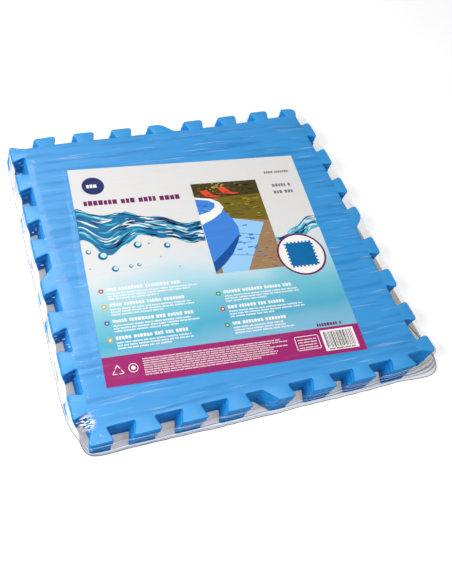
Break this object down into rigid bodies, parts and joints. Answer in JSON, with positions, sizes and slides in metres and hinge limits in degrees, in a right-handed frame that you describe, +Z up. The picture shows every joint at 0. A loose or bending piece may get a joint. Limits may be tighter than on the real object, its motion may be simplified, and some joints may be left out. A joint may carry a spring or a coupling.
{
  "type": "interlocking foam mats",
  "caption": "Shrink-wrapped stack of square interlocking foam tiles with toothed edges and a printed card on top; joined flat they make a padded floor or a board for blocking knitting.",
  "frame": {"origin": "centre of the stack on the surface that it lies on", "axes": "+Z up through the stack, its thin direction; the near side of the mats faces -Y and is parallel to X"},
  "size_m": [0.5374, 0.5374, 0.0405],
  "materials": {
    "foam": "matte closed-cell foam, finely embossed",
    "paper": "coated printed paper",
    "film": "clear glossy shrink film",
    "seal": "melted film bead"
  },
  "bodies": {
    "wrap_base": {"lower_film": "film", "trim_seal": "seal"},
    "mat_1": {"mat_1": "foam"},
    "mat_2": {"mat_2": "foam"},
    "mat_3": {"mat_3": "foam"},
    "mat_4": {"mat_4": "foam"},
    "mat_5": {"mat_5": "foam"},
    "mat_6": {"mat_6": "foam"},
    "mat_7": {"mat_7": "foam"},
    "mat_8": {"mat_8": "foam"},
    "mat_9": {"mat_9": "foam"},
    "card": {"printed_card": "paper"},
    "wrap_top": {"upper_film": "film"}
  },
  "joints": [
    {"name": "mat_1_lift", "type": "slide", "parent": "wrap_base", "child": "mat_1", "axis": [0, 0, 1], "range_m": [0, 0.06]},
    {"name": "mat_2_lift", "type": "slide", "parent": "mat_1", "child": "mat_2", "axis": [0, 0, 1], "range_m": [0, 0.06]},
    {"name": "mat_3_lift", "type": "slide", "parent": "mat_2", "child": "mat_3", "axis": [0, 0, 1], "range_m": [0, 0.06]},
    {"name": "mat_4_lift", "type": "slide", "parent": "mat_3", "child": "mat_4", "axis": [0, 0, 1], "range_m": [0, 0.06]},
    {"name": "mat_5_lift", "type": "slide", "parent": "mat_4", "child": "mat_5", "axis": [0, 0, 1], "range_m": [0, 0.06]},
    {"name": "mat_6_lift", "type": "slide", "parent": "mat_5", "child": "mat_6", "axis": [0, 0, 1], "range_m": [0, 0.06]},
    {"name": "mat_7_lift", "type": "slide", "parent": "mat_6", "child": "mat_7", "axis": [0, 0, 1], "range_m": [0, 0.06]},
    {"name": "mat_8_lift", "type": "slide", "parent": "mat_7", "child": "mat_8", "axis": [0, 0, 1], "range_m": [0, 0.06]},
    {"name": "mat_9_lift", "type": "slide", "parent": "mat_8", "child": "mat_9", "axis": [0, 0, 1], "range_m": [0, 0.06]},
    {"name": "card_lift", "type": "slide", "parent": "mat_9", "child": "card", "axis": [0, 0, 1], "range_m": [0, 0.06]},
    {"name": "wrap_top_lift", "type": "slide", "parent": "card", "child": "wrap_top", "axis": [0, 0, 1], "range_m": [0, 0.06]}
  ]
}
